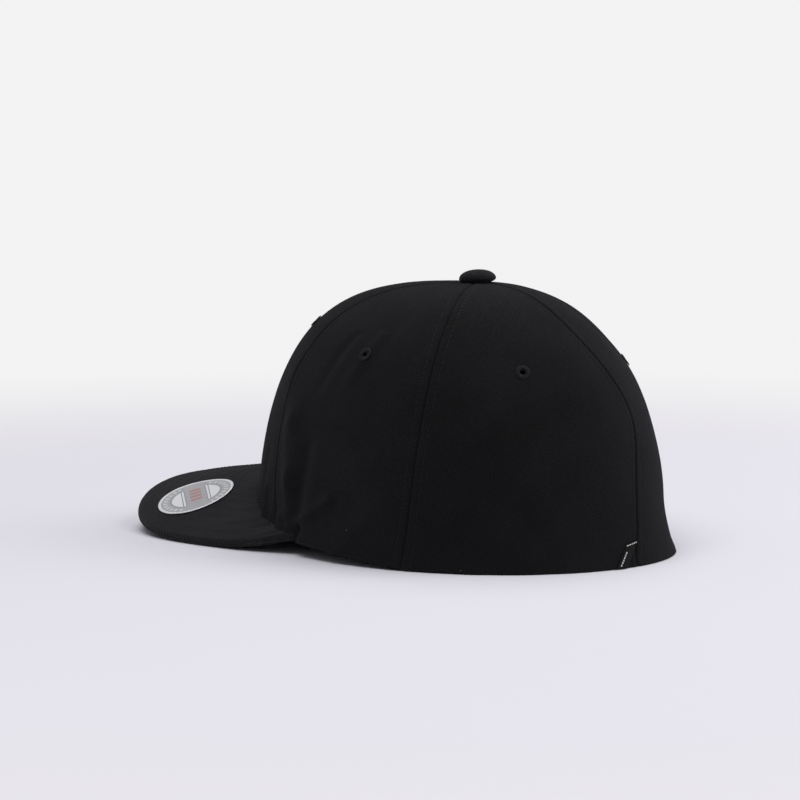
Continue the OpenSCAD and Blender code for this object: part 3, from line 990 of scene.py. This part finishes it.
def buckram(i, name):
    def place(u, v, inner):
        row = mix(lining_start, lining_end, v)
        t, p, _, _ = panel_spot(i, u, row)
        return crown(t, p, buckram_in + (buckram_t if inner else 0))

    def flat(u, v):
        return panel_spot(i, u, mix(lining_start, lining_end, v))[3] * MM, v * 0.15

    axes, eye = out_of_cloth(*eyelet_spot(i))
    hole = (eye, axes.to_3x3() @ Vector((0, 0, 1)), seam_eye_r * MM)
    bm = grid_piece(panel_columns, 80, place, flat, holes=[hole], edge=0.15)
    piece(bm, name + "_mesh", "cap", "buckram_mesh", buckram_mesh, name)


buckram(0, "front_buckram_left")
buckram(-1, "front_buckram_right")


def tape_point(i, v, side, depth):
    """Point of a tape over seam i, a distance beside its middle."""
    middle = seam(i, v)
    p = row_slope(middle, v)
    radius = radius_at(middle, p)
    t = middle + math.degrees(math.atan2(side, radius))
    flat_p = slope_at_r(t, math.hypot(radius, side))
    return crown(t, mix(p, flat_p, ease((math.degrees(p) - 50) / 25)), depth)


def seam_tape(i, depth, name):
    def place(u, v, inner):
        ridge = 0.15 * (2 * u - 1) ** 4
        row = mix(tape_start, tape_end, v)
        return tape_point(i, row, (u - 0.5) * tape_w, depth + ridge + inner * tape_t)

    bm = grid_piece(10, 90, place, lambda u, v: (u * tape_w * MM, v * 0.14), edge=0.12)
    piece(bm, name + "_ribbon", "cap", "black_tape", seam_ribbon, name)


seam_tape(1, front_tape_in, "seam_tape_front_left")
seam_tape(-1, front_tape_in, "seam_tape_front_right")
seam_tape(2, back_tape_in, "seam_tape_back_left")
seam_tape(-2, back_tape_in, "seam_tape_back_right")


def centre_tape_place(u, v, inner):
    side = (u - 0.5) * tape_w
    depth = mix(front_tape_in, back_tape_in, ease((v - 0.5) * 6 - 0.6)) + inner * tape_t
    if v < 0.5:
        return tape_point(0, mix(tape_start, 1.0, 2 * v), side, depth)
    return tape_point(3, mix(1.0, tape_start, 2 * v - 1), -side, depth)


rivet_low, rivet_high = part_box("button_rivet")
pole = Vector((0, (rivet_low.y + rivet_high.y) / 2, rivet_low.z))
bm = grid_piece(14, 190, centre_tape_place, lambda u, v: (u * tape_w * MM, v * 0.33), edge=0.12,
                holes=[(pole, Vector((0, 0, 1)), hole_r * MM)])
piece(bm, "seam_tape_centre_ribbon", "cap", "black_tape", seam_ribbon, "seam_tape_centre")

rows = [sew(seam_line(i, side, (front_tape_in if abs(i) < 2 else back_tape_in) + tape_t + 0.05, 0.2, 12))
        for i in range(-2, 4) for side in (-1, 1)]
piece(gather(rows), "tape_stitching", "cap", "black_thread", black_thread)

# ---------------------------------------------------------------------------- Sweatband
# A stretch band sewn to the inside of the hem: a spongy core wrapped in a smooth knitted face, with
# a row of stitches at its foot and one below its folded top.

band_h = 32
core_in = front_tape_in + tape_t + 0.4
core_t = 0.9
face_in = core_in + core_t + 0.05
face_t = 0.9
stitch_h = 3
foot_in = core_in - cloth_t - 0.4


def knit(name, dark, light, pitch):
    """Fine ribbed knit with a dry, matt face."""
    made, tree, shader = finish_with(name, Roughness=0.85, Specular_IOR_Level=0.2, Sheen_Weight=0.2,
                                     Sheen_Roughness=0.5)
    cloth = add(tree, "UVMap", {}).outputs["UV"]
    space = add(tree, "TexCoord", {}).outputs["Object"]
    ribs = stripes(tree, cloth, 0, pitch)
    loops = maths(tree, "MULTIPLY", stripes(tree, cloth, 45, pitch), stripes(tree, cloth, -45, pitch))
    height = maths(tree, "MULTIPLY_ADD", loops, 0.5, ribs)
    height = maths(tree, "MULTIPLY_ADD", speckle(tree, space, 0.6), 0.7, height)
    relief(tree, shader, height, 0.12)
    tone = maths(tree, "MULTIPLY_ADD", height, 0.2, speckle(tree, space, 14, 3))
    tree.links.new(ramp(tree, tone, (0.2, dark), (0.9, light)), shader.inputs["Base Color"])
    return made


band_knit = knit("band_knit", (0.010, 0.010, 0.011), (0.030, 0.030, 0.033), 1.0)
core_knit = knit("core_knit", (0.05, 0.05, 0.052), (0.10, 0.10, 0.105), 1.6)


def band_place(depth, thick, puff):
    """Places the band's layers: a sewn foot on the panels, then the free band inside the tapes."""
    def place(u, v, inner):
        t = 360 * u - 180
        h = 0.4 + (band_h - 0.4) * v
        foot = 1 - ease((h - stitch_h) / 3)
        swell = puff * bump(h, 16, 9) if inner else 0
        pull = 0.25 * (bump(h, stitch_h, 0.9) + bump(h, band_h - 4, 0.9)) if inner and puff else 0
        inset = depth - foot * foot_in + (thick + swell - pull if inner else 0)
        return crown(t, slope_at_z(t, hem_z(t) + h), inset)

    return place


def band_flat(u, v):
    return u * math.pi * (crown_l + crown_w) / 2 * MM, v * band_h * MM


bm = grid_piece(200, 12, band_place(core_in, core_t, 0), band_flat, ring=True, edge=0.2)
piece(bm, "sweatband_core_knit", "cap", "stretch_core", core_knit, "sweatband_core")
bm = grid_piece(260, 36, band_place(face_in, face_t, 0.15), band_flat, ring=True, edge=0.3)
piece(bm, "sweatband_knit", "cap", "sweatband_cloth", band_knit, "sweatband_face")

band_face = band_place(face_in, face_t, 0.15)
rows = []
for height in (stitch_h, band_h - 4):
    v = (height - 0.4) / (band_h - 0.4)
    line = []
    for step in range(361):
        spot = band_face(step / 360, v, True)
        line.append((spot, (spot - band_face(step / 360, v, False)).normalized()))
    rows.append(sew(line))
piece(gather(rows), "sweatband_stitching", "cap", "black_thread", black_thread)

# ---------------------------------------------------------------------------- Care label
# A white satin label sewn to the sweatband at the back, left without print but for plain bars.

care_w = 20
care_h = 18
care_top = 21
care_left = 170
care_in = face_in + face_t + 0.4


def satin():
    """White satin with two plain grey bars."""
    made, tree, shader = finish_with("white_satin", Roughness=0.45, Specular_IOR_Level=0.45,
                                     Sheen_Weight=0.1)
    cloth = add(tree, "UVMap", {}).outputs["UV"]
    space = add(tree, "TexCoord", {}).outputs["Object"]
    height = maths(tree, "MULTIPLY_ADD", stripes(tree, cloth, 0, 0.4), 0.5, stripes(tree, cloth, 90, 0.9))
    relief(tree, shader, height, 0.04)
    v = add(tree, "SeparateXYZ", {0: cloth}).outputs["Y"]
    rows = maths(tree, "GREATER_THAN", maths(tree, "SINE", maths(tree, "MULTIPLY", v, 2200)), 0.9)
    rows = maths(tree, "MULTIPLY", rows, maths(tree, "LESS_THAN", v, 7 * MM))
    paper = ramp(tree, speckle(tree, space, 4), (0.3, 0.66), (0.7, 0.75))
    both = add(tree, "Mix", {0: rows, 6: paper, 7: (0.3, 0.3, 0.3, 1)}, data_type="RGBA")
    tree.links.new(both.outputs[2], shader.inputs["Base Color"])
    return made


def care_place(u, v, inner):
    span = math.degrees(care_w / loop_radius)
    t = care_left - span * (1 - u)
    curl = 0.9 * ease(1 - v) * (0.6 + 0.4 * math.cos(math.pi * u))
    depth = care_in + 0.25 + curl + inner * 0.3
    return crown(t, slope_at_z(t, care_top - care_h * (1 - v)), depth)


bm = grid_piece(20, 18, care_place, lambda u, v: (u * care_w * MM, v * care_h * MM), edge=0.08)
piece(bm, "care_label_satin", "cap", "white_label", satin(), "care_label")

# ---------------------------------------------------------------------------- Insert shell
# The removable bump guard: a thin dome of tough black plastic with raised rims round its vents, and
# a soft trim moulded round its lower edge.

insert_in = face_in + face_t + 0.9
shell_t = 2.2
insert_tuck = 4
top_vent_r = 12
vent_r = 4.5
trim_t = 2
trim_grip = 0.7
trim_lip = 0.4
trim_gap = 0.15
vent_angles = [15, 45, 135, 165, -15, -45, -135, -165]
vent_slope = math.radians(52)
shell_plastic = moulded("shell_plastic", (0.010, 0.010, 0.011), (0.020, 0.020, 0.022), 0.9, 0.42)
vents = []
for t in vent_angles:
    axes, spot = out_of_cloth(t, vent_slope, False)
    vents.append((spot, axes.to_3x3() @ Vector((0, 0, 1)), vent_r * MM))


def insert_edge(t):
    return slope_at_z(t, hem_z(t) + band_h - insert_tuck)


def vent_rim(point):
    """Height of the raised rim round the nearest vent."""
    off = []
    for centre, axis, radius in vents:
        away = point - centre
        off.append((away - axis * away.dot(axis)).length)
    return 0.55 * bump(min(off) / MM, vent_r + 1.3, 1.1)


def shell_place(u, v, inner):
    t = 360 * u - 180
    p = mix(insert_edge(t), slope_at_r(t, top_vent_r), v)
    point = crown(t, p, insert_in, False)
    lip = 0.5 * bump(v, 1, 0.02) + vent_rim(point)
    if inner:
        return crown(t, p, insert_in + shell_t + 0.4 * lip, False)
    return crown(t, p, insert_in - lip, False)


def shell_flat(u, v):
    return u * 0.5, v * 0.15


bm = grid_piece(320, 84, shell_place, shell_flat, ring=True, holes=vents, edge=0.4)
piece(bm, "insert_shell_plastic", "insert", "black_plastic", shell_plastic, "insert_shell")

trim_rubber = moulded("trim_rubber", (0.022, 0.022, 0.023), (0.040, 0.040, 0.042), 0.5, 0.75)


def trim_place(u, v, inner):
    t = 360 * u - 180
    low = hem_z(t) + band_h - insert_tuck - trim_t - trim_gap
    z = low + (trim_t + trim_grip) * v
    depth = insert_in - trim_lip + inner * (shell_t + 2 * trim_lip)
    return crown(t, slope_at_z(t, z), depth, False)


bm = grid_piece(260, 5, trim_place, lambda u, v: (u * 0.6, v * trim_t * MM), ring=True, edge=0.7)
piece(bm, "insert_trim_rubber", "insert", "soft_rubber", trim_rubber, "insert_trim")

# ---------------------------------------------------------------------------- Foam pads
# Grey closed-cell foam, die cut with round corners, pressed with shallow channels and glued inside
# the shell: four pads round the head and a ring at the top.

pad_t = 5
pad_in = insert_in + shell_t + 0.4
pad_rise = math.radians(3)
pad_top = math.radians(38)
top_pad_edge = math.radians(62)
corner_pull = 0.2


def foam(name):
    """Closed-cell foam: small bubbles and a dusty, uneven grey."""
    made, tree, shader = finish_with(name, Roughness=0.95, Specular_IOR_Level=0.15, Sheen_Weight=0.12)
    space = add(tree, "TexCoord", {}).outputs["Object"]
    cells = add(tree, "TexVoronoi", {"Vector": space, "Scale": 1400}).outputs["Distance"]
    dust = speckle(tree, space, 8, 4)
    relief(tree, shader, maths(tree, "ADD", cells, speckle(tree, space, 1.2)), 0.12)
    tone = maths(tree, "MULTIPLY_ADD", cells, 0.25, dust)
    tree.links.new(ramp(tree, tone, (0.3, (0.026, 0.026, 0.028)), (0.95, (0.062, 0.062, 0.066))),
                   shader.inputs["Base Color"])
    return made


pad_foam = foam("pad_foam")


def crowned(x):
    """Share of the full thickness, from 0 at the rim at -1 and 1 to 1 over most of the pad."""
    return (1 - min(1.0, abs(x)) ** 6) ** 0.5


def side_pad(t0, t1, channels, name):
    def place(u, v, inner):
        x, y = 2 * u - 1, 2 * v - 1
        wide = x * math.sqrt(1 - corner_pull * y * y)
        tall = y * math.sqrt(1 - corner_pull * x * x)
        t = mix(t0, t1, (wide + 1) / 2)
        p = mix(insert_edge(t) + pad_rise, pad_top, (tall + 1) / 2)
        if not inner:
            return crown(t, p, pad_in, False)
        pressed = sum(bump(wide, c, 0.035) for c in channels)
        thick = pad_t * (0.35 + 0.65 * crowned(x) * crowned(y)) * (1 - 0.3 * pressed)
        return crown(t, p, pad_in + thick, False)

    bm = grid_piece(72, 40, place, edge=0.5)
    made = piece(bm, name + "_foam", "insert", "grey_foam", pad_foam, name)


side_pad(-36, 36, (-0.5, 0, 0.5), "insert_pad_front")
side_pad(144, 216, (-0.5, 0, 0.5), "insert_pad_back")
side_pad(58, 118, (-0.35, 0.35), "insert_pad_left")
side_pad(-118, -58, (-0.35, 0.35), "insert_pad_right")


def top_pad_place(u, v, inner):
    t = 360 * u - 180
    p = mix(top_pad_edge, slope_at_r(t, top_vent_r + 4), v)
    if not inner:
        return crown(t, p, pad_in, False)
    pressed = max(0.0, math.cos(math.radians(3 * t))) ** 60
    thick = pad_t * (0.35 + 0.65 * crowned(2 * v - 1)) * (1 - 0.3 * pressed)
    return crown(t, p, pad_in + thick, False)


bm = grid_piece(220, 26, top_pad_place, ring=True, edge=0.5)
top_pad = piece(bm, "insert_pad_top_foam", "insert", "grey_foam", pad_foam, "insert_pad_top")

# ---------------------------------------------------------------------------- Studio
# A pale floor that fades into a white surround, soft lamps on both sides, and the camera low behind
# the cap's left side.

scene = bpy.context.scene
scene.view_settings.view_transform = "Standard"
floor_colour = (0.86, 0.835, 0.895)
surround_colour = (0.90, 0.893, 0.90)


def pale_floor():
    """Matt floor that keeps the shadow near the cap and turns to the surround further out. It
    can't be seen from below."""
    made, tree, shader = finish_with("pale_floor", Roughness=0.9, Specular_IOR_Level=0.1)
    shader.inputs["Base Color"].default_value = (*floor_colour, 1)
    space = add(tree, "TexCoord", {}).outputs["Object"]
    away = add(tree, "VectorMath", {0: space}, operation="LENGTH").outputs["Value"]
    fade = add(tree, "MapRange", {"Value": away, "From Min": 0.22, "From Max": 0.95},
               interpolation_type="SMOOTHSTEP").outputs["Result"]
    glow = add(tree, "Emission", {"Color": (*surround_colour, 1), "Strength": 1})
    seen = add(tree, "LightPath", {}).outputs["Is Camera Ray"]
    lit = add(tree, "MixShader", {0: maths(tree, "MULTIPLY", fade, seen), 1: shader.outputs[0],
                                  2: glow.outputs[0]})
    below = add(tree, "NewGeometry", {}).outputs["Backfacing"]
    clear = add(tree, "BsdfTransparent", {})
    both = add(tree, "MixShader", {0: below, 1: lit.outputs[0], 2: clear.outputs[0]})
    tree.links.new(both.outputs[0], tree.nodes["Material Output"].inputs["Surface"])
    return made


bm = bmesh.new()
bmesh.ops.create_circle(bm, cap_ends=True, segments=96, radius=8)
bmesh.ops.translate(bm, vec=(0, 0, -0.3 * MM), verts=bm.verts[:])
floor_mesh = bpy.data.meshes.new("studio_floor")
bm.to_mesh(floor_mesh)
bm.free()
floor_mesh.materials.append(pale_floor())
floor = bpy.data.objects.new("studio_floor", floor_mesh)
scene.collection.objects.link(floor)

world = bpy.data.worlds.new("surround")
world.use_nodes = True
scene.world = world
sky = world.node_tree
seen = add(sky, "LightPath", {}).outputs
shown = maths(sky, "MAXIMUM", seen["Is Camera Ray"], seen["Is Transmission Ray"])
ambient = sky.nodes["Background"]
ambient.inputs["Color"].default_value = (0.92, 0.94, 1.0, 1)
ambient.inputs["Strength"].default_value = 0.31
backdrop = add(sky, "Background", {"Color": (*surround_colour, 1), "Strength": 1})
chosen = add(sky, "MixShader", {0: shown, 1: ambient.outputs[0], 2: backdrop.outputs[0]})
sky.links.new(chosen.outputs[0], sky.nodes["World Output"].inputs["Surface"])


def softbox(name, azimuth, elevation, distance, size, power):
    """Square lamp that faces the middle of the cap."""
    lamp = bpy.data.lights.new(name, "AREA")
    lamp.size = size
    lamp.energy = power
    made = bpy.data.objects.new(name, lamp)
    scene.collection.objects.link(made)
    a, e = math.radians(azimuth), math.radians(elevation)
    way = Vector((math.sin(a) * math.cos(e), -math.cos(a) * math.cos(e), math.sin(e)))
    made.location = Vector((0, 0, 0.06)) + way * distance
    made.rotation_euler = way.to_track_quat("Z", "Y").to_euler()


softbox("key", 95, 66, 1.6, 1.0, 8.6)
softbox("rim", 215, 40, 1.6, 0.9, 8.5)
softbox("top", 300, 68, 1.8, 1.2, 8.5)

view_azimuth = math.radians(129.37)
view_elevation = math.radians(5.99)
view_distance = 1.3
aim_right = -26.98
aim_up = 69.03
back = Vector((math.sin(view_azimuth) * math.cos(view_elevation),
               -math.cos(view_azimuth) * math.cos(view_elevation), math.sin(view_elevation)))
right = Vector((math.cos(view_azimuth), math.sin(view_azimuth), 0))
up = back.cross(right)
target = (right * aim_right + up * aim_up) * MM
lens = bpy.data.cameras.new("camera")
lens.lens = 118.2
camera = bpy.data.objects.new("camera", lens)
scene.collection.objects.link(camera)
camera.matrix_world = Matrix((right, up, back)).transposed().to_4x4()
camera.location = target + back * view_distance
scene.camera = camera
